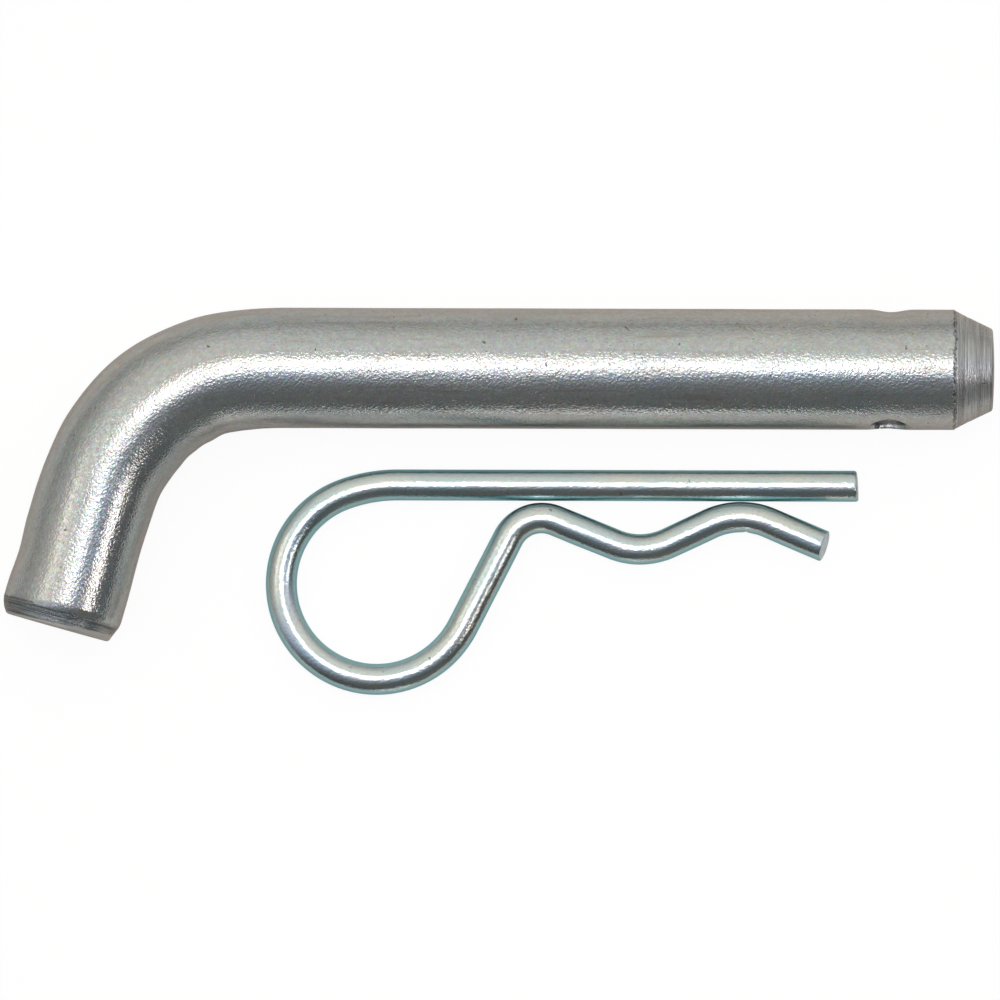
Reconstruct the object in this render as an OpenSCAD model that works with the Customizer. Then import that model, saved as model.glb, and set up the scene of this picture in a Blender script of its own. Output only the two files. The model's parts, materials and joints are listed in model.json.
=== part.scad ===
// Bent hitch pin and its spring clip, lying side by side on a flat surface.
// The origin is the middle of the space the two take up, on the surface they
// lie on. +X runs along the shank to its tip, +Y from the clip to the pin and
// +Z up. Lengths are in millimetres, angles in degrees.

/* [Pin] */
// Diameter of the bar
bar_d = 15.875; // [12.7:0.005:19.05]
// Straight shank, from the elbow to the tip
shank_len = 96.3; // [70:0.1:120]
// Radius of the elbow, at the middle of the bar
elbow_r = 22.9; // [18:0.1:30]
// Turn of the elbow
elbow_turn = 73.7; // [60:0.1:90]
// Straight handle, from the elbow to its end
handle_len = 18.6; // [12:0.1:40]
// Length of the taper at the tip
tip_len = 5.2; // [3:0.1:8]
// Diameter of the flat at the tip
tip_d = 11; // [8:0.1:12]
// Length of the chamfer at the handle's end
end_chamfer_len = 2.1; // [0.5:0.1:4]
// Depth of the chamfer at the handle's end
end_chamfer = 1.05; // [0.2:0.05:2]

/* [Clip hole] */
// Diameter of the hole across the shank
hole_d = 4.6; // [4.3:0.1:5.5]
// Distance of the hole from the tip
hole_from_tip = 13.9; // [10:0.1:25]
// Diameter of the countersink at each mouth
sink_d = 6; // [5.6:0.1:7.5]
// Turn of the hole about the shank, out of the plane of the bend
hole_turn = 14; // [-45:1:45]

/* [Clip] */
// Diameter of the spring wire
wire_d = 4.1; // [3:0.1:4.1]
// Straight leg, the one that goes through the hole
leg_len = 60.7; // [50:0.1:75]
// Radius of the easy bend that leads into the loop
lead_in_r = 20.7; // [16:0.1:25]
// Turn of that easy bend
lead_in_turn = 20.1; // [15:0.1:30]
// Radius of the loop
loop_r = 12.6; // [11:0.1:14]
// Turn of the loop, from its back to the spring leg
loop_turn = 121; // [118:0.1:121]
// Radius of the easy bend that leads out of the loop
lead_out_r = 13.1; // [12:0.1:15]
// Turn of that easy bend
lead_out_turn = 31.9; // [28:0.1:31.9]
// Straight slope up to the first bump
slope_len = 13; // [11:0.1:13]
// Radius of the first bump
bump_r = 5; // [4:0.1:6]
// Turn of the first bump
bump_turn = 84.5; // [84.5:0.1:87]
// Straight down to the valley that grips the pin
down_len = 8.3; // [8:0.1:9]
// Radius of the valley
valley_r = 9.2; // [8:0.1:10]
// Turn of the valley
valley_turn = 46.4; // [44:0.1:46.4]
// Straight up to the second bump
up_len = 5.9; // [5:0.1:5.9]
// Radius of the second bump
nose_r = 9.9; // [8:0.1:9.9]
// Turn of the second bump
nose_turn = 47.6; // [47.6:0.1:52]
// Straight tail after the second bump
tail_len = 7.8; // [6:0.1:12]
// Chamfer at both ends of the wire
wire_chamfer = 0.3; // [0.1:0.05:0.6]

/* [Layout] */
// Gap between the pin and the straight leg
side_gap = 5.4; // [3:0.1:12]
// Setback of the straight leg's tip from the pin's tip
clip_setback = 17.9; // [0:0.1:30]

/* [Hidden] */
$fn = 64;

bar_r = bar_d / 2;
hole_r = hole_d / 2;
sink_r = sink_d / 2;
wire_r = wire_d / 2;

// A sink's cone rises at 45 degrees from this depth, and goes on past the bar
sink_depth = sink_r - hole_r;
sink_over = 0.5;

// The wire flexes round its loop. Its two halves meet at the back of the loop
// in a round knuckle, a little wider than the wire, with a running clearance.
knuckle_r = 1.15 * wire_r;
knuckle_gap = 0.05;

// A bend draws the bar down by this much, and each straight laps over the bends
// at its ends, which stop a third of the lap short
draw_down = 0.01;
lap = 0.15;

// The pin's length, from the tip to whichever edge of the chamfered end is out
// furthest
to_chamfer = shank_len + elbow_r * sin(elbow_turn) + bar_r * sin(elbow_turn)
    + (handle_len - end_chamfer_len) * cos(elbow_turn);
to_end_face = to_chamfer + end_chamfer_len * cos(elbow_turn) - end_chamfer * sin(elbow_turn);
overall_len = max(to_chamfer, to_end_face);

// Distance of the loop's centre below the straight leg, and behind its bend
loop_drop = lead_in_r - (lead_in_r - loop_r) * cos(lead_in_turn);
loop_back = (lead_in_r - loop_r) * sin(lead_in_turn);
overall_width = bar_d + side_gap + wire_r + loop_drop + loop_r + wire_r;

tip_x = overall_len / 2;
pin_y = overall_width / 2 - bar_r;
leg_y = pin_y - bar_r - side_gap - wire_r;
leg_tip_x = tip_x - clip_setback;
hinge_x = leg_tip_x - leg_len - loop_back - loop_r;
hinge_y = leg_y - loop_drop;

// Each step of a bent bar is a straight length, a bend radius and a turn, with
// a positive turn to the left
pin_steps = [
    [shank_len - tip_len, elbow_r, elbow_turn],
    [handle_len - end_chamfer_len, 0, 0]
];
straight_leg_steps = [
    [leg_len - wire_chamfer, lead_in_r, lead_in_turn],
    [0, loop_r, 90 - lead_in_turn]
];
spring_leg_steps = [
    [wire_d, loop_r, loop_turn],
    [0, lead_out_r, lead_out_turn],
    [slope_len, bump_r, -bump_turn],
    [down_len, valley_r, valley_turn],
    [up_len, nose_r, -nose_turn],
    [tail_len - wire_chamfer, 0, 0]
];

// A cone or cylinder that runs from the origin along +X
module along_x(h, r1, r2) {
    rotate([0, 90, 0]) cylinder(h = h, r1 = r1, r2 = r2);
}

// One bend of a round bar, from the origin, where it heads along +X
module bend(r, bend_r, turn) {
    side = sign(turn);
    trim = lap / 3 / bend_r * 180 / PI;
    translate([0, side * bend_r, 0])
        rotate([0, 0, (side > 0 ? -90 : 90 - abs(turn)) + trim])
        rotate_extrude(angle = abs(turn) - 2 * trim)
        translate([bend_r, 0]) circle(r - draw_down);
}

// A round bar bent in its plane, step by step, with the children at its end
module bent_bar(r, steps, i = 0) {
    straight = steps[i][0];
    bend_r = steps[i][1];
    turn = steps[i][2];
    start = i > 0 ? -lap : 0;
    end = turn != 0 ? straight + lap : straight;
    translate([start, 0, 0]) along_x(end - start, r, r);
    translate([straight, 0, 0]) {
        if (turn != 0) bend(r, bend_r, turn);
        translate([bend_r * sin(abs(turn)), sign(turn) * bend_r * (1 - cos(turn)), 0])
            rotate([0, 0, turn]) {
                if (i + 1 < len(steps)) bent_bar(r, steps, i + 1) children();
                else children();
            }
    }
}

// The hole for the clip, countersunk at both mouths, with its middle at the
// origin
module clip_hole() {
    cylinder(h = bar_d + 2, r = hole_r, center = true);
    for (mouth = [0, 180])
        rotate([mouth, 0, 0])
        translate([0, 0, bar_r - sink_depth])
        cylinder(h = sink_depth + sink_over, r1 = hole_r, r2 = sink_r + sink_over);
}

// The bent bar, drawn from its tip
module hitch_pin() {
    color([0.66, 0.67, 0.65])
    translate([tip_x, pin_y, bar_r])
    rotate([0, 0, 180])
    difference() {
        union() {
            along_x(tip_len, tip_d / 2, bar_r);
            translate([tip_len, 0, 0])
                bent_bar(bar_r, pin_steps)
                along_x(end_chamfer_len, bar_r, bar_r - end_chamfer);
        }
        translate([hole_from_tip, 0, 0]) rotate([90 + hole_turn, 0, 0]) clip_hole();
    }
}

// The leg that goes through the pin, and the upper half of the loop
module clip_straight_leg() {
    color([0.60, 0.70, 0.72])
    difference() {
        translate([leg_tip_x, leg_y, wire_r]) rotate([0, 0, 180]) {
            along_x(wire_chamfer, wire_r - wire_chamfer, wire_r);
            translate([wire_chamfer, 0, 0]) bent_bar(wire_r, straight_leg_steps);
        }
        translate([hinge_x, hinge_y, wire_r])
            cylinder(h = 2 * wire_d, r = knuckle_r + knuckle_gap, center = true);
    }
}

// The lower half of the loop, and the wavy leg that springs over the pin
module clip_spring_leg() {
    color([0.56, 0.66, 0.70])
    translate([hinge_x, hinge_y, wire_r]) rotate([0, 0, -90])
    difference() {
        translate([-wire_d, 0, 0])
            bent_bar(wire_r, spring_leg_steps)
            along_x(wire_chamfer, wire_r, wire_r - wire_chamfer);
        difference() {
            translate([-3 * wire_d, -wire_d, -wire_d]) cube([3 * wire_d, 2 * wire_d, 2 * wire_d]);
            cylinder(h = 3 * wire_d, r = knuckle_r, center = true);
        }
    }
}

hitch_pin();
clip_straight_leg();
clip_spring_leg();
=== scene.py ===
import json
import math

import bpy
import numpy as np
from mathutils import Matrix, Vector, noise


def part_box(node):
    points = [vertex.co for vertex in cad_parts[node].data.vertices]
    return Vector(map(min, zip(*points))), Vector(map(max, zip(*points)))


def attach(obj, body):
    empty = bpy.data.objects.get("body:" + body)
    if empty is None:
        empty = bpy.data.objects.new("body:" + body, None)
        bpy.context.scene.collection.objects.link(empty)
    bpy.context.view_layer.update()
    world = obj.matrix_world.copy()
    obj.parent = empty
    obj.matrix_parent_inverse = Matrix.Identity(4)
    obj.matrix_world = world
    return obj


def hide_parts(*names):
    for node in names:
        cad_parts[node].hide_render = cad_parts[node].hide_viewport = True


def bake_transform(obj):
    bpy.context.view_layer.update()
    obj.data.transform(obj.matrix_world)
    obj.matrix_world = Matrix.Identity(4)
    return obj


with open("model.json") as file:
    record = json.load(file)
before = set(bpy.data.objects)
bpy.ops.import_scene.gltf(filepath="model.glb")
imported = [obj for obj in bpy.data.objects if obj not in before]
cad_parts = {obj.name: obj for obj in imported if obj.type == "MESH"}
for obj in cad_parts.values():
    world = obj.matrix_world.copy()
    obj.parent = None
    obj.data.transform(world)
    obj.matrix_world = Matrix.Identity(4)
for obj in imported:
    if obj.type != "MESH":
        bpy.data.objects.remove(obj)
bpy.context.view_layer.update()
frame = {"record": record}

MM = 0.001

# Points round each swept bar, and the angle over which an edge stays sharp
PIN_SIDES = 144
WIRE_SIDES = 56
SHARP_DEGREES = 38

# Straights, bend radii and turns along each bar, as in the CAD
TIP_LEN = 5.2
SHANK_LEN = 96.3
PIN_STEPS = [(SHANK_LEN, 22.9, 73.7), (18.6, 0, 0)]
CLIP_STEPS = [
    (60.7, 20.7, 20.1), (0, 12.6, 190.9), (0, 13.1, 31.9), (13.0, 5.0, -84.5),
    (8.3, 9.2, 46.4), (5.9, 9.9, -47.6), (7.8, 0, 0),
]

# Camera: the part of the surface it sees, the point it looks at and its height
VIEW_WIDTH = 131.96
VIEW_POINT = (0.13, 0.25, 6.0)
CAMERA_DISTANCE = 4000.0
CAMERA_ROLL = 0.17
SENSOR_WIDTH = 36.0


# ---------------------------------------------------------------- routes

class Route:
    """The line along the middle of a bent bar, made of straights and arcs in a level plane."""

    def __init__(self, start, heading, steps):
        self.z = start[2]
        self.parts = []
        x, y, h, s = start[0], start[1], math.radians(heading), 0.0
        for straight, bend_r, turn in steps:
            if straight > 0:
                self.parts.append((s, straight, x, y, h, 0.0))
                x, y, s = x + straight * math.cos(h), y + straight * math.sin(h), s + straight
            if turn:
                curve = math.copysign(1 / bend_r, turn)
                length = abs(math.radians(turn)) * bend_r
                self.parts.append((s, length, x, y, h, curve))
                end = h + length * curve
                x += (math.sin(end) - math.sin(h)) / curve
                y -= (math.cos(end) - math.cos(h)) / curve
                h, s = end, s + length
        self.length = s

    def at(self, s):
        """The point at s along the route, its direction, and the level direction to its left."""
        found = self.parts[0]
        for part in self.parts:
            if part[0] <= s:
                found = part
        s0, _, x, y, h, curve = found
        d = s - s0
        if curve:
            end = h + d * curve
            x += (math.sin(end) - math.sin(h)) / curve
            y -= (math.cos(end) - math.cos(h)) / curve
            h = end
        else:
            x, y = x + d * math.cos(h), y + d * math.sin(h)
        along = np.array((math.cos(h), math.sin(h), 0.0))
        left = np.array((-math.sin(h), math.cos(h), 0.0))
        return np.array((x, y, self.z)), along, left

    def turned(self, degrees):
        """How far along the route its direction has turned left by this much."""
        total = 0.0
        for s0, length, _, _, _, curve in self.parts:
            here = math.degrees(length * curve)
            if curve > 0 and total + here >= degrees:
                return s0 + math.radians(degrees - total) / curve
            total += here
        return self.length

    def unbend(self, points):
        """Each point's distance along the route, and its offsets to the left and up."""
        best = np.full(len(points), 1e9)
        out = np.zeros((len(points), 3))
        for s0, length, x, y, h, curve in self.parts:
            if curve:
                centre = np.array((x - math.sin(h) / curve, y + math.cos(h) / curve))
                away = points[:, :2] - centre
                side = math.copysign(1.0, curve)
                start = math.atan2(-math.cos(h) * side, math.sin(h) * side)
                angle = (np.arctan2(away[:, 1], away[:, 0]) - start) * side
                angle = (angle + math.pi) % (2 * math.pi) - math.pi
                d = angle / abs(curve)
                left = (1 / abs(curve) - np.hypot(away[:, 0], away[:, 1])) * side
            else:
                away = points[:, :2] - np.array((x, y))
                d = away @ np.array((math.cos(h), math.sin(h)))
                left = away @ np.array((-math.sin(h), math.cos(h)))
            beyond = np.maximum(0, np.maximum(-d, d - length))
            far = np.hypot(beyond, left)
            take = far < best
            best[take] = far[take]
            out[take] = np.stack((s0 + d, left, points[:, 2] - self.z), 1)[take]
        return out


def smooth(low, high, value):
    """0 up to low and 1 from high, with an even rise between."""
    t = min(1.0, max(0.0, (value - low) / (high - low)))
    return t * t * (3 - 2 * t)


def bump(middle, width, value):
    """1 at middle, falling smoothly to 0 at width away."""
    return 1 - smooth(0, width, abs(value - middle))


# ---------------------------------------------------------------- meshes

def make_object(name, vertices, faces, sharp_degrees):
    """A smooth-shaded mesh object from points in millimetres."""
    mesh = bpy.data.meshes.new(name)
    mesh.from_pydata([tuple(v * MM for v in p) for p in vertices], [], faces)
    mesh.validate()
    mesh.polygons.foreach_set("use_smooth", [True] * len(mesh.polygons))
    mesh.set_sharp_from_angle(angle=math.radians(sharp_degrees))
    piece = bpy.data.objects.new(name, mesh)
    bpy.context.scene.collection.objects.link(piece)
    return piece


def sweep(name, route, profile, shape, sides, sharp_degrees):
    """A closed bar along a route. profile lists (distance, radius) ring by ring, and
    shape(distance, radius, angle) moves a ring's point to its own (distance, radius)."""
    vertices, faces = [], []
    angles = [2 * math.pi * (j / sides - 0.25) for j in range(sides)]
    for s, r in profile:
        for a in angles:
            s_here, r_here = shape(s, r, a)
            point, _, left = route.at(s_here)
            vertices.append(point + r_here * (math.cos(a) * left + math.sin(a) * np.array((0, 0, 1.0))))
    for i in range(len(profile) - 1):
        for j in range(sides):
            k = (j + 1) % sides
            low, high = i * sides, (i + 1) * sides
            faces.append((low + j, low + k, high + k, high + j))
    last = (len(profile) - 1) * sides
    faces.append(tuple(reversed(range(sides))))
    faces.append(tuple(range(last, last + sides)))
    return make_object(name, vertices, faces, sharp_degrees)


def spaced(start, end, step):
    """Even stations from start to end, about a step apart, without the last."""
    count = max(1, round((end - start) / step))
    return [start + (end - start) * i / count for i in range(count)]


def store_unbent(piece, route):
    """Stores each point's place along and across the unbent bar, in millimetres, for the materials."""
    mesh = piece.data
    points = np.empty(len(mesh.vertices) * 3)
    mesh.vertices.foreach_get("co", points)
    unbent = route.unbend(points.reshape(-1, 3) / MM)
    attribute = mesh.attributes.new("unbent", "FLOAT_VECTOR", "POINT")
    attribute.data.foreach_set("vector", unbent.ravel())


def cut(piece, cutter):
    """Takes the cutter's shape out of a piece, and removes the cutter."""
    modifier = piece.modifiers.new("cut", "BOOLEAN")
    modifier.operation = "DIFFERENCE"
    modifier.solver = "EXACT"
    modifier.object = cutter
    bpy.context.view_layer.update()
    graph = bpy.context.evaluated_depsgraph_get()
    mesh = bpy.data.meshes.new_from_object(piece.evaluated_get(graph))
    piece.modifiers.clear()
    piece.data = mesh
    bpy.data.objects.remove(cutter)


# ---------------------------------------------------------------- the pin

pin_low, pin_high = (np.array(corner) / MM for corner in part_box("hitch_pin"))
BAR_R = (pin_high[2] - pin_low[2]) / 2
PIN_ROUTE = Route((pin_high[0], pin_high[1] - BAR_R, BAR_R), 180, PIN_STEPS)
TIP_R = 5.5
END_CHAMFER = 0.95
END_CHAMFER_LEN = 2.35
END_SOFT = 0.25
END_RISE = 0.05
TIP_FACE_DEPTH = 0.22

# Shallow dents round the hole's mouths, as (side, distance from the tip, depth)
HOLE_DENTS = [(-1, 13.6, 0.34), (1, 14.1, 0.15)]

# Where the bent part bulges or thins, as (distance from the tip, half length, height)
INNER_SWELLS = [(98.7, 5.0, 0.14), (104.3, 3.0, -0.12), (117.6, 6.5, 0.19), (131.5, 8.0, -0.20)]
OUTER_SWELLS = [(98.7, 5.0, -0.16), (111.6, 7.0, 0.21), (123.3, 4.5, -0.16), (135.9, 4.5, -0.22)]


def taper_radius(s):
    """Radius of the turned tip: a rounded edge, a long cone, a scored line and a steeper cone."""
    score = 3.35
    middle_r = BAR_R - 0.96
    edge = 0.28
    if s < edge:
        return TIP_R - 0.30 * (1 - s / edge) ** 2
    if s < score:
        r = TIP_R + (middle_r - TIP_R) * (s - edge) / (score - edge)
    else:
        r = middle_r + (BAR_R - middle_r) * (s - score) / (TIP_LEN - score)
    return r - 0.03 * bump(score, 0.12, s)


def tool_marks(s):
    """Depth of the turning marks on the taper: uneven rings a few tenths of a millimetre apart."""
    fine = noise.noise(Vector((s * 5.2, 3.7, 0))) + 0.6 * noise.noise(Vector((s * 11.0, 9.1, 0)))
    return 0.022 * fine * smooth(0.2, 0.6, s) * (1 - smooth(TIP_LEN - 0.4, TIP_LEN, s))


def pin_shape(s, r, a):
    """The forged and plated bar's small departures from a true round."""
    across, up = math.cos(a), math.sin(a)
    share = r / BAR_R
    ragged = noise.noise(Vector((across * 4.0, up * 4.0, 1.3)))
    groove = 0.03 + 0.05 * ragged
    r -= groove * bump(TIP_LEN + 0.12 * ragged, 0.22, s) * (1 if share > 0.9 else 0)
    if s > TIP_LEN:
        wave = noise.noise(Vector((s * 0.12, across * 1.1, up * 1.1 + 7)))
        r += 0.018 * wave * share * smooth(TIP_LEN, TIP_LEN + 3, s)
        for side, middle, depth in HOLE_DENTS:
            r -= depth * bump(middle, 3.0, s) * max(0.0, side * across) ** 4 * share
    # Cold bending has left the elbow and the handle a little uneven on both sides
    if s > SHANK_LEN - 6:
        r += sum(h * bump(m, w, s) for m, w, h in INNER_SWELLS) * max(0.0, across) ** 2 * share
        r += sum(h * bump(m, w, s) for m, w, h in OUTER_SWELLS) * max(0.0, -across) ** 2 * share
        squeeze = bump(SHANK_LEN + 14, 14, s) * max(0.0, across) ** 2
        r -= 0.03 * squeeze * math.cos(2 * math.pi * (s - SHANK_LEN) / 4.3) * share
    # The handle's end is cropped: the chamfer is longest on top and shortest on the outside
    left = PIN_ROUTE.length - s
    if left < 4:
        lean = 0.55 * up + 0.15 * across - 0.35 * max(0.0, -across)
        s -= lean * smooth(0, 1.5, left) * (1 - smooth(2.4, 4.2, left))
        s += (0.12 * max(0.0, -across) - 0.10 * max(0.0, across)) * share * (1 - smooth(0, 3, left))
    return s, r


def pin_profile():
    """Rings from the middle of the tip's face to the middle of the handle's end face."""
    rings = [(TIP_FACE_DEPTH * (r / TIP_R) ** 2, r) for r in (0.4, 1.2, 2.0, 2.8, 3.6, 4.3, 4.8, 5.05)]
    taper = spaced(0.02, TIP_LEN - TIP_FACE_DEPTH, 0.05)
    rings += [(TIP_FACE_DEPTH + s, taper_radius(s) + tool_marks(s)) for s in taper]
    rings += [(s, BAR_R) for s in spaced(TIP_LEN, TIP_LEN + 1.2, 0.06)]
    rings += [(s, BAR_R) for s in spaced(TIP_LEN + 1.2, PIN_ROUTE.length - 4, 0.4)]
    chamfer_start = PIN_ROUTE.length - END_CHAMFER_LEN
    rings += [(s, BAR_R) for s in spaced(PIN_ROUTE.length - 4, chamfer_start - END_SOFT, 0.2)]
    cropped = spaced(chamfer_start - END_SOFT, PIN_ROUTE.length, 0.08)
    rings += [(s, end_radius(PIN_ROUTE.length - s)) for s in cropped]
    face_r = end_radius(0)
    shares = (0.99, 0.95, 0.85, 0.7, 0.5, 0.3, 0.1)
    rings += [(PIN_ROUTE.length + END_RISE * (1 - k), face_r * k) for k in shares]
    return rings


def end_radius(left):
    """Radius of the handle this far from its end: a chamfer with soft corners."""
    slope = END_CHAMFER / END_CHAMFER_LEN
    cone = BAR_R - END_CHAMFER + slope * left
    gap = (BAR_R - cone) / END_SOFT
    r = BAR_R - END_SOFT * max(0.0, gap) if abs(gap) >= 1 else BAR_R - END_SOFT * (gap + 1) ** 2 / 4
    lip = 0.22
    return r - lip * (1 - min(1.0, left / lip)) ** 2


def hole_cutter(mount):
    """A pin with flared ends, which cuts the clip's hole and the countersinks at its mouths."""
    hole_r = mount["dims"]["r_mm"]
    reach = BAR_R + 1.5
    half = []
    for i in range(15):
        h = 6.0 + (reach - 6.0) * i / 14
        flare = max(0.0, h - 6.9)
        half.append((h, hole_r + 0.45 * flare ** 1.3))
    profile = [(-h, r) for h, r in reversed(half)] + half
    route = Route((0.0, 0.0, 0.0), 0, [(1, 0, 0)])
    cutter = sweep("hole_cutter", route, profile, lambda s, r, a: (s, r), 72, 40)
    axis = Vector(mount["axis"])
    turn = Vector((1, 0, 0)).rotation_difference(axis).to_matrix().to_4x4()
    cutter.data.transform(Matrix.Translation(Vector(mount["pos_m"])) @ turn)
    return cutter


def build_pin():
    """The bent bar with its turned tip, cropped end and cross hole."""
    pin = sweep("bent_pin", PIN_ROUTE, pin_profile(), pin_shape, PIN_SIDES, SHARP_DEGREES)
    mounts = {m["name"]: m for m in frame["record"]["mounts"]}
    cut(pin, hole_cutter(mounts["clip_hole"]))
    store_unbent(pin, PIN_ROUTE)
    return pin


# ---------------------------------------------------------------- the clip

leg_low, leg_high = (np.array(corner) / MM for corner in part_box("clip_straight_leg"))
WIRE_R = (leg_high[2] - leg_low[2]) / 2
CLIP_ROUTE = Route((leg_high[0], leg_high[1] - WIRE_R, WIRE_R), 180, CLIP_STEPS)
CLIP_SPLIT = CLIP_ROUTE.turned(180)


def clip_shape(s, r, a):
    """The drawn wire's small flats at the bends, its dented bump and its two cut ends."""
    across, up = math.cos(a), math.sin(a)
    share = r / WIRE_R
    bumps = [CLIP_ROUTE.parts[i] for i in (5, 7, 9)]
    for s0, length, _, _, _, curve in bumps:
        inside = max(0.0, across * math.copysign(1, curve))
        r -= 0.07 * bump(s0 + length / 2, length, s) * inside ** 3 * share
    nick = bump(CLIP_ROUTE.parts[9][0] + 0.62 * CLIP_ROUTE.parts[9][1], 0.5, s)
    r -= 0.16 * nick * max(0.0, -across) ** 12 * share
    r += 0.006 * noise.noise(Vector((s * 0.3, across, up))) * share
    left = CLIP_ROUTE.length - s
    if left < 3:
        s -= (0.42 * up * share + 0.20 * across * share) * (1 - smooth(0, 3, left))
    if s < 2:
        s += (0.10 * up - 0.12 * across) * share * (1 - smooth(0, 2, s))
    return s, r


def store_cut_faces(piece, ends):
    """Marks the points inside the rim of a cut face, where the wire's end is bare."""
    mesh = piece.data
    points = np.empty(len(mesh.attributes["unbent"].data) * 3)
    mesh.attributes["unbent"].data.foreach_get("vector", points)
    points = points.reshape(-1, 3)
    inside = np.hypot(points[:, 1], points[:, 2]) < 0.90 * WIRE_R
    at_end = np.any([np.abs(points[:, 0] - end) < 1.0 for end in ends], axis=0)
    attribute = mesh.attributes.new("cut_face", "FLOAT", "POINT")
    attribute.data.foreach_set("value", (inside & at_end).astype(float))


def cut_end(rounding):
    """Rings, as (distance in from the end, radius), for a wire cut off with a slightly broken edge."""
    rings = [(0.0, WIRE_R * k - rounding * k) for k in (0.1, 0.35, 0.6, 0.8, 0.92, 1.0)]
    for i in range(1, 7):
        t = math.pi / 2 * i / 6
        rings.append((rounding * (1 - math.cos(t)), WIRE_R - rounding * (1 - math.sin(t))))
    return rings


def build_clip():
    """The wire in two lengths that meet at the bottom of the loop: the straight leg with
    the part of the loop that flexes, and the spring leg."""
    tip_end = cut_end(0.38)
    tail_end = [(CLIP_ROUTE.length - d, r) for d, r in reversed(cut_end(0.16))]
    seam = [(0.1, CLIP_SPLIT), (0.5, CLIP_SPLIT), (0.9, CLIP_SPLIT)]
    flexing = tip_end + [(s, WIRE_R) for s in spaced(0.6, CLIP_SPLIT - 0.05, 0.35)]
    flexing += [(CLIP_SPLIT - 0.05, WIRE_R), (CLIP_SPLIT, WIRE_R)]
    flexing += [(s, WIRE_R * k) for k, s in reversed(seam)]
    sprung = [(s, WIRE_R * k) for k, s in seam] + [(CLIP_SPLIT, WIRE_R)]
    sprung += [(s, WIRE_R) for s in spaced(CLIP_SPLIT + 0.05, CLIP_ROUTE.length - 0.4, 0.35)]
    sprung += tail_end
    pieces = []
    for name, profile in (("clip_leg_and_loop", flexing), ("clip_spring_end", sprung)):
        piece = sweep(name, CLIP_ROUTE, profile, clip_shape, WIRE_SIDES, SHARP_DEGREES)
        store_unbent(piece, CLIP_ROUTE)
        store_cut_faces(piece, (0.0, CLIP_ROUTE.length))
        pieces.append(piece)
    return pieces


# ---------------------------------------------------------------- materials

class Nodes:
    """A node tree while it is built: add() makes a node, and sets or links its inputs."""

    def __init__(self, owner):
        owner.use_nodes = True
        self.tree = owner.node_tree
        self.tree.nodes.clear()

    def add(self, kind, inputs=None, **settings):
        node = self.tree.nodes.new("ShaderNode" + kind)
        for name, value in settings.items():
            setattr(node, name, value)
        for name, value in (inputs or {}).items():
            socket = node.inputs[name]
            if isinstance(value, bpy.types.NodeSocket):
                self.tree.links.new(value, socket)
            else:
                socket.default_value = value
        return node

    def noise(self, vector, scale, detail=2.0, roughness=0.5, distortion=0.0):
        """A noise texture's value, about 0.5 on average."""
        made = self.add("TexNoise", {
            "Vector": vector, "Scale": scale, "Detail": detail,
            "Roughness": roughness, "Distortion": distortion,
        })
        return made.outputs["Fac"]

    def between(self, value, low, high, to_low=0.0, to_high=1.0):
        """value from low to high becomes to_low to to_high, with a smooth rise."""
        made = self.add("MapRange", {
            "Value": value, "From Min": low, "From Max": high, "To Min": to_low, "To Max": to_high,
        }, interpolation_type="SMOOTHSTEP")
        return made.outputs["Result"]

    def math(self, operation, a, b=0.0):
        """One sum on two values."""
        node = self.add("Math", operation=operation)
        for socket, value in zip(node.inputs, (a, b)):
            if isinstance(value, bpy.types.NodeSocket):
                self.tree.links.new(value, socket)
            else:
                socket.default_value = value
        return node.outputs[0]

    def mix(self, factor, a, b, blend="MIX"):
        """A mix of two colours."""
        node = self.add("Mix", data_type="RGBA", blend_type=blend)
        for index, value in ((0, factor), (6, a), (7, b)):
            socket = node.inputs[index]
            if isinstance(value, bpy.types.NodeSocket):
                self.tree.links.new(value, socket)
            else:
                socket.default_value = value if index == 0 else (*value, 1.0)
        return node.outputs[2]

    def stretched(self, vector, scale):
        """The vector with each axis scaled."""
        made = self.add("VectorMath", {0: vector, 1: scale}, operation="MULTIPLY")
        return made.outputs[0]

    def bumps(self, height, distance, strength, below=None):
        """A bumped normal, on top of another where one is given."""
        inputs = {"Height": height, "Distance": distance, "Strength": strength}
        if below is not None:
            inputs["Normal"] = below
        return self.add("Bump", inputs).outputs["Normal"]


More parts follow.
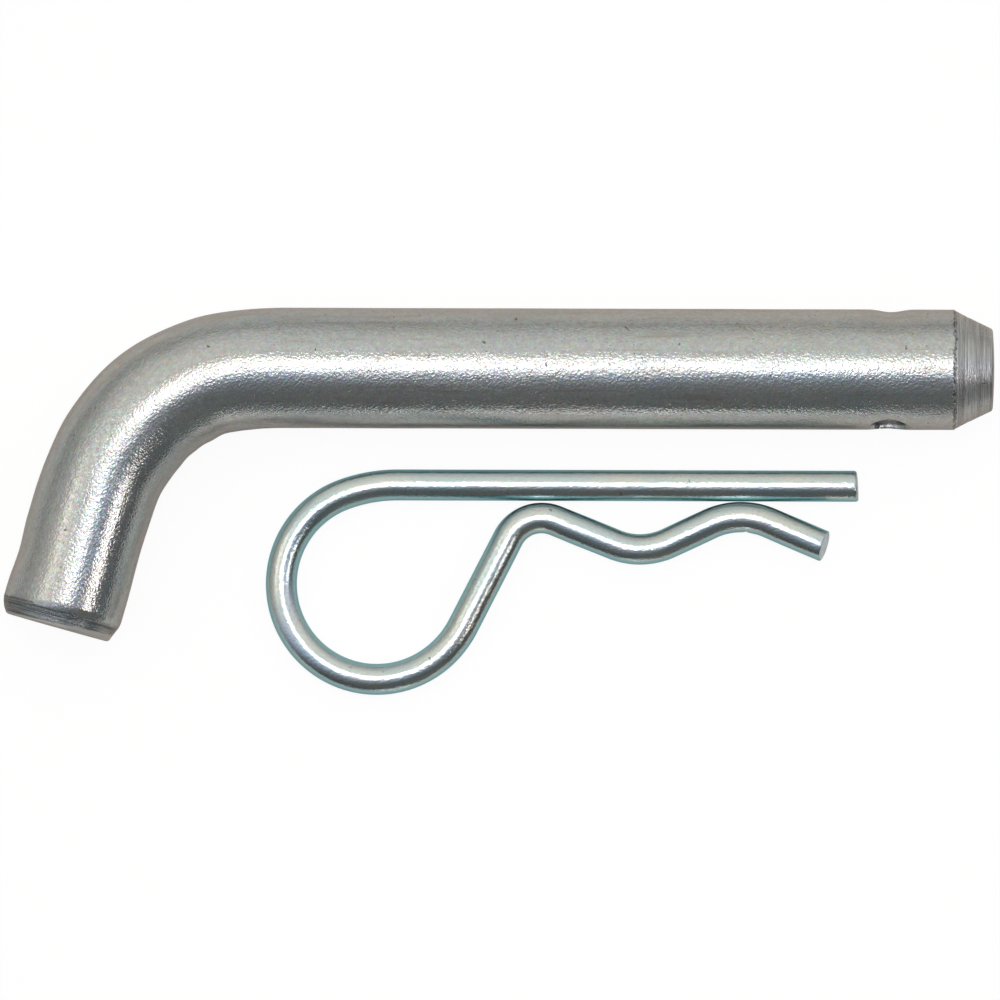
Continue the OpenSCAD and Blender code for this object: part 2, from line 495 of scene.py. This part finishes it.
def pin_material():
    """Satin zinc plate on rolled bar, as a fine sparkle with faint scuffs, pits and rusty
    specks, and turned or cut metal with ring marks at both ends."""
    material = bpy.data.materials.new("pin_zinc")
    n = Nodes(material)
    place = n.add("Attribute", attribute_name="unbent").outputs["Vector"]
    parts = n.add("SeparateXYZ", {0: place}).outputs
    along = parts["X"]
    level_part, upright_part = n.math("POWER", parts["Y"], 2.0), n.math("POWER", parts["Z"], 2.0)
    radius = n.math("SQRT", n.math("ADD", level_part, upright_part))

    # Where the metal differs, plus painted shade inside the cross hole and in the groove round the tip's
    # edge
    pits = n.between(n.noise(place, 1.1, 2.0, 0.5, 0.6), 0.72, 0.77)
    specks = n.between(n.noise(place, 2.1, 2.0, 0.6), 0.63, 0.69)
    rust_patch = n.between(n.noise(n.stretched(place, (0.10, 0.45, 0.45)), 1.0, 3.0, 0.6), 0.55, 0.63)
    rust = n.math("MULTIPLY", specks, rust_patch)
    stains = n.between(n.noise(n.stretched(place, (0.15, 0.5, 0.5)), 1.0, 4.0, 0.7), 0.50, 0.68)
    smears = n.between(n.noise(n.stretched(place, (0.06, 1.1, 1.1)), 1.0, 3.0, 0.65), 0.54, 0.70)
    mottle = n.noise(place, 1.3, 4.0, 0.7)
    dull = n.between(n.noise(n.stretched(place, (0.07, 0.25, 0.25)), 1.0, 3.0, 0.6), 0.42, 0.62)
    turned = n.between(along, TIP_LEN - 0.15, TIP_LEN, 1.0, 0.0)
    chamfer_start = PIN_ROUTE.length - END_CHAMFER_LEN
    drift = n.math("MULTIPLY", n.math("SUBTRACT", n.noise(place, 0.8, 3.0, 0.6), 0.5), 1.2)
    cropped = n.between(n.math("ADD", along, drift), chamfer_start - 0.1, chamfer_start + 0.2)
    toward_rim = n.math("ADD", along, n.math("MULTIPLY", parts["Y"], 0.07))
    near_edge = n.between(toward_rim, PIN_ROUTE.length - 0.70, PIN_ROUTE.length - 0.50)
    rim = n.math("MULTIPLY", near_edge, n.between(radius, BAR_R - 2.0, BAR_R - 1.5))
    worked = n.math("MAXIMUM", turned, cropped)
    wander = n.math("MULTIPLY", n.math("SUBTRACT", n.noise(place, 1.4, 3.0, 0.6), 0.5), 1.1)
    from_burr = n.math("ABSOLUTE", n.math("SUBTRACT", n.math("ADD", along, wander), TIP_LEN + 0.05))
    burr_line = n.between(from_burr, 0.08, 0.28, 1.0, 0.0)
    # The ring's near-black colour is painted shade in the groove at the tip's edge, over the ragged
    # burr; the same mask also dents the surface
    burr_and_groove_shade = n.math("MULTIPLY", burr_line, n.between(n.noise(place, 2.3), 0.36, 0.50))
    # Painted shade: the bore of the cross hole is coloured near-black, as shade inside the hole
    near_hole = n.math("MULTIPLY", n.between(along, 8, 9), n.between(along, 19, 20, 1.0, 0.0))
    hole_painted_shade = n.math("MULTIPLY", near_hole, n.between(radius, BAR_R - 0.75, BAR_R - 0.42, 1.0, 0.0))

    # Marks that run round the bar on the turned tip and the cropped end
    inward = n.math("MULTIPLY", radius, n.between(along, 40, 60, 1.0, -1.0))
    wrapped = n.math("ADD", along, inward)
    round_place = n.add("CombineXYZ", {"X": wrapped, "Y": parts["Y"], "Z": parts["Z"]})
    rings = n.noise(n.stretched(round_place.outputs[0], (3.6, 0.08, 0.08)), 1.0, 4.0, 0.75)
    streaks = n.between(rings, 0.38, 0.62)

    # Colour
    clouds = n.noise(n.stretched(place, (0.06, 0.15, 0.15)), 1.0, 3.0, 0.55)
    colour = n.mix(n.between(clouds, 0.35, 0.65), (0.605, 0.630, 0.620), (0.655, 0.650, 0.620))
    cells = n.add("TexVoronoi", {"Vector": place, "Scale": 3.8, "Randomness": 1.0}).outputs["Color"]
    flecks = n.mix(0.21, (1.0, 1.0, 1.0), cells, "MIX")
    colour = n.mix(1.0, colour, flecks, "MULTIPLY")
    shaded = n.mix(1.0, colour, (0.88, 0.87, 0.85), "MULTIPLY")
    colour = n.mix(n.between(mottle, 0.34, 0.66), shaded, colour)
    colour = n.mix(n.math("MULTIPLY", stains, 0.50), colour, (0.50, 0.48, 0.42))
    colour = n.mix(n.math("MULTIPLY", smears, 0.45), colour, (0.40, 0.35, 0.30))
    colour = n.mix(turned, colour, n.mix(streaks, (0.38, 0.37, 0.36), (0.66, 0.65, 0.62)))
    colour = n.mix(cropped, colour, n.mix(streaks, (0.12, 0.13, 0.13), (0.42, 0.43, 0.42)))
    colour = n.mix(n.math("MULTIPLY", rim, 0.8), colour, (0.76, 0.70, 0.62))
    colour = n.mix(n.math("MULTIPLY", rust, 0.75), colour, (0.30, 0.17, 0.11))
    colour = n.mix(n.math("MULTIPLY", pits, 0.80), colour, (0.12, 0.11, 0.10))
    # Painted shade along the groove at the tip's edge
    colour = n.mix(n.math("MULTIPLY", burr_and_groove_shade, 0.80), colour, (0.10, 0.10, 0.09))
    # Painted shade inside the cross hole
    colour = n.mix(n.math("MULTIPLY", hole_painted_shade, 0.85), colour, (0.05, 0.05, 0.05))

    # Gloss
    scuffs = n.noise(n.stretched(place, (0.10, 1.8, 1.8)), 1.0, 3.0, 0.6)
    rough = n.between(scuffs, 0.30, 0.70, 0.08, 0.14)
    rough = n.math("ADD", rough, n.math("MULTIPLY", stains, 0.06))
    rough = n.math("ADD", rough, n.math("MULTIPLY", dull, 0.07))
    rough = n.math("ADD", rough, n.math("MULTIPLY", worked, 0.05))
    rough = n.math("ADD", rough, n.math("MULTIPLY", rim, 0.40))

    # Surface
    plain = n.math("SUBTRACT", 1.0, n.math("MULTIPLY", worked, 0.6))
    sparkle = n.noise(place, 3.1, 2.0, 0.55)
    waves = n.noise(n.stretched(place, (0.22, 0.40, 0.40)), 1.0, 2.0, 0.5)
    grain = n.math("MULTIPLY", plain, n.between(dull, 0.0, 1.0, 0.75, 1.0))
    normal = n.bumps(sparkle, 0.000075, grain)
    normal = n.bumps(waves, 0.00010, 0.25, normal)
    normal = n.bumps(scuffs, 0.00003, 0.10, normal)
    normal = n.bumps(rings, 0.00012, worked, normal)
    normal = n.bumps(n.math("ADD", pits, n.math("MULTIPLY", burr_and_groove_shade, 0.8)), -0.00008, 0.6, normal)

    shader = n.add("BsdfPrincipled", {
        "Base Color": colour, "Metallic": 0.88, "Roughness": rough, "Normal": normal,
        "Specular Tint": (0.82, 0.72, 0.68, 1.0),
    })
    n.add("OutputMaterial", {"Surface": shader.outputs[0]})
    return material


def clip_material():
    """Bright zinc plate with a thin clear blue-green film, on smoothly drawn wire with bare cut ends."""
    material = bpy.data.materials.new("clip_zinc")
    n = Nodes(material)
    place = n.add("Attribute", attribute_name="unbent").outputs["Vector"]
    parts = n.add("SeparateXYZ", {0: place}).outputs
    sawn = n.add("Attribute", attribute_name="cut_face").outputs["Fac"]

    drawn = n.noise(n.stretched(place, (0.06, 3.2, 3.2)), 1.0, 3.0, 0.6)
    peel = n.noise(place, 3.2, 3.0, 0.6)
    waves = n.noise(n.stretched(place, (0.16, 0.5, 0.5)), 1.0, 2.0, 0.5)
    clouds = n.noise(n.stretched(place, (0.10, 0.4, 0.4)), 1.0, 2.0, 0.5)
    pits = n.between(n.noise(place, 1.5, 2.0, 0.5, 0.4), 0.71, 0.76)
    # The wire's flanks, where a blue-green is painted on below
    side = n.between(n.math("ABSOLUTE", parts["Y"]), 0.66 * WIRE_R, 0.92 * WIRE_R)
    grain = n.noise(place, 3.0, 3.0, 0.7)

    colour = n.mix(n.between(clouds, 0.35, 0.65), (0.60, 0.68, 0.68), (0.70, 0.71, 0.65))
    # The blue-green on the flanks is partly the film's own tint and partly a painted reflection,
    # standing in for the film's sheen at grazing angles
    colour = n.mix(n.math("MULTIPLY", side, 0.80), colour, (0.30, 0.62, 0.66))
    cells = n.add("TexVoronoi", {"Vector": place, "Scale": 3.0, "Randomness": 1.0}).outputs["Color"]
    colour = n.mix(1.0, colour, n.mix(0.08, (1.0, 1.0, 1.0), cells, "MIX"), "MULTIPLY")
    colour = n.mix(n.math("MULTIPLY", pits, 0.6), colour, (0.18, 0.20, 0.20))
    bare = n.mix(n.between(grain, 0.38, 0.54), (0.62, 0.66, 0.66), (0.98, 0.98, 0.96))
    colour = n.mix(sawn, colour, bare)

    rough = n.between(drawn, 0.3, 0.7, 0.07, 0.13)
    rough = n.math("ADD", rough, n.math("MULTIPLY", sawn, 0.30))

    normal = n.bumps(peel, 0.00006, 0.75)
    normal = n.bumps(waves, 0.00010, 0.50, normal)
    normal = n.bumps(drawn, 0.00002, 0.30, normal)
    normal = n.bumps(grain, 0.00012, sawn, normal)

    metal = n.math("SUBTRACT", 1.0, n.math("MULTIPLY", sawn, 0.8))
    shader = n.add("BsdfPrincipled", {
        "Base Color": colour, "Metallic": metal, "Roughness": rough, "Normal": normal,
        "Specular Tint": (0.60, 0.82, 0.86, 1.0),
    })
    n.add("OutputMaterial", {"Surface": shader.outputs[0]})
    return material


def floor_material():
    """A pale, softly lit surface that the camera sees as nearly white; to other rays it shows a painted
    pool of light, pale near the pieces and fading to grey from 60 to 160 mm out.
    """
    material = bpy.data.materials.new("pale_floor")
    n = Nodes(material)
    here = n.add("TexCoord").outputs["Object"]
    away = n.add("VectorMath", {0: here}, operation="LENGTH").outputs["Value"]
    # Painted pool of light: pale near the pieces, grey from 160 mm out
    painted_light_pool = n.between(away, 0.06, 0.16)
    paint = n.add("BsdfDiffuse", {"Color": n.mix(painted_light_pool, (0.82, 0.79, 0.74), (0.42, 0.44, 0.44))})
    seen = n.add("Emission", {"Color": (1.0, 1.0, 1.0, 1.0), "Strength": 1.06})
    ray = n.add("LightPath").outputs["Is Camera Ray"]
    share = n.math("MULTIPLY", ray, 0.88)
    surface = n.add("MixShader", {0: share, 1: paint.outputs[0], 2: seen.outputs[0]})
    n.add("OutputMaterial", {"Surface": surface.outputs[0]})
    return material


# ---------------------------------------------------------------- stage

def make_floor():
    """A wide flat surface that both pieces lie on."""
    half = 2500.0
    corners = [(-half, -half, 0), (half, -half, 0), (half, half, 0), (-half, half, 0)]
    floor = make_object("floor", corners, [(0, 1, 2, 3)], 30)
    floor.data.materials.append(floor_material())


def softbox(name, azimuth, tilt, width, depth, radiance, colour, distance=1000, aim=(0, 0, 0)):
    """A rectangular light of even brightness: azimuth is its direction round the vertical,
    from +X, and tilt its angle down from straight overhead, both seen from aim."""
    data = bpy.data.lights.new(name, "AREA")
    data.shape = "RECTANGLE"
    data.size, data.size_y = width * MM, depth * MM
    data.color = colour
    data.energy = radiance * math.pi * data.size * data.size_y
    light = bpy.data.objects.new(name, data)
    turn = Matrix.Rotation(math.radians(azimuth), 4, "Z") @ Matrix.Rotation(math.radians(tilt), 4, "Y")
    place = Matrix.Translation(Vector(aim) * MM)
    light.matrix_world = place @ turn @ Matrix.Translation((0, 0, distance * MM))
    light.visible_camera = False
    bpy.context.scene.collection.objects.link(light)


def make_lights():
    """A large softbox overhead, a smaller one to each side, and a narrow strip in front,
    level with the pin."""
    softbox("key", 100, 7, 350, 310, 3.5, (1.0, 1.0, 1.0))
    softbox("right", -16, 44, 200, 220, 6.0, (1.0, 0.93, 0.92))
    softbox("left", 166, 43, 150, 420, 1.2, (1.0, 0.97, 0.82))
    softbox("strip", -90, 90, 6, 60, 6.0, (0.95, 1.0, 1.0), distance=230, aim=(14, 0, 4))


# The studio walls, as (direction, colour) from the dark front to the light back
WALLS = [
    (-1.00, (0.22, 0.24, 0.24)), (-0.85, (0.13, 0.145, 0.15)), (-0.70, (0.115, 0.125, 0.13)),
    (-0.54, (0.15, 0.16, 0.17)), (-0.43, (0.20, 0.22, 0.24)), (-0.32, (0.28, 0.32, 0.37)),
    (-0.22, (0.42, 0.49, 0.64)), (-0.12, (0.60, 0.70, 0.98)), (0.02, (0.84, 0.86, 0.88)),
    (0.45, (0.87, 0.89, 0.87)), (0.85, (0.88, 0.89, 0.86)), (1.00, (0.96, 0.96, 0.92)),
]


def make_world():
    """A soft studio: a light wall behind the pin and to the left, a dark one in front."""
    world = bpy.data.worlds.new("studio")
    bpy.context.scene.world = world
    n = Nodes(world)
    way = n.add("TexCoord").outputs["Generated"]
    lean = n.add("VectorMath", {0: way, 1: (-0.35, 0.94, 0.0)}, operation="DOT_PRODUCT").outputs["Value"]
    ramp = n.add("ValToRGB", {"Fac": n.math("ADD", n.math("MULTIPLY", lean, 0.5), 0.5)})
    stops = ramp.color_ramp.elements
    stops[0].color = (*WALLS[0][1], 1.0)
    stops[1].color = (*WALLS[-1][1], 1.0)
    for direction, colour in WALLS[1:-1]:
        stops.new(0.5 + 0.5 * direction).color = (*colour, 1.0)
    sides = n.add("SeparateXYZ", {0: way}).outputs
    level = n.between(sides["Z"], 0.0, 0.75, 0.58, 1.0)
    level = n.math("MULTIPLY", level, n.between(sides["X"], -0.95, -0.45, 0.76, 1.0))
    studio = n.add("Background", {"Color": ramp.outputs["Color"], "Strength": level})
    pale = n.add("Background", {"Color": (1, 1, 1, 1), "Strength": 1.0})
    ray = n.add("LightPath").outputs["Is Camera Ray"]
    seen = n.add("MixShader", {0: ray, 1: studio.outputs[0], 2: pale.outputs[0]})
    n.add("OutputWorld", {"Surface": seen.outputs[0]})


def make_camera():
    """Straight down on both pieces, from far enough away that they look flat-on."""
    data = bpy.data.cameras.new("camera")
    data.sensor_width = SENSOR_WIDTH
    data.lens = SENSOR_WIDTH * CAMERA_DISTANCE / VIEW_WIDTH
    data.clip_end = 100
    camera = bpy.data.objects.new("camera", data)
    camera.location = (VIEW_POINT[0] * MM, VIEW_POINT[1] * MM, (VIEW_POINT[2] + CAMERA_DISTANCE) * MM)
    camera.rotation_euler = (0, 0, math.radians(CAMERA_ROLL))
    bpy.context.scene.collection.objects.link(camera)
    bpy.context.scene.camera = camera


# ---------------------------------------------------------------- scene

make_camera()
make_lights()
make_world()
make_floor()
bpy.context.scene.view_settings.view_transform = "Standard"

pin = build_pin()
pin.data.materials.append(pin_material())
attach(pin, "pin")
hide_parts("hitch_pin")
pin.visible_glossy = False

wire_finish = clip_material()
clip_flexing, clip_sprung = build_clip()
for piece in (clip_flexing, clip_sprung):
    piece.data.materials.append(wire_finish)
clip_flexing.visible_glossy = False
loop_bottom = CLIP_ROUTE.at(CLIP_SPLIT)[0][1]
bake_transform(clip_flexing)
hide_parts("clip_straight_leg")
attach(clip_sprung, "clip_leg")
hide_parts("clip_spring_leg")
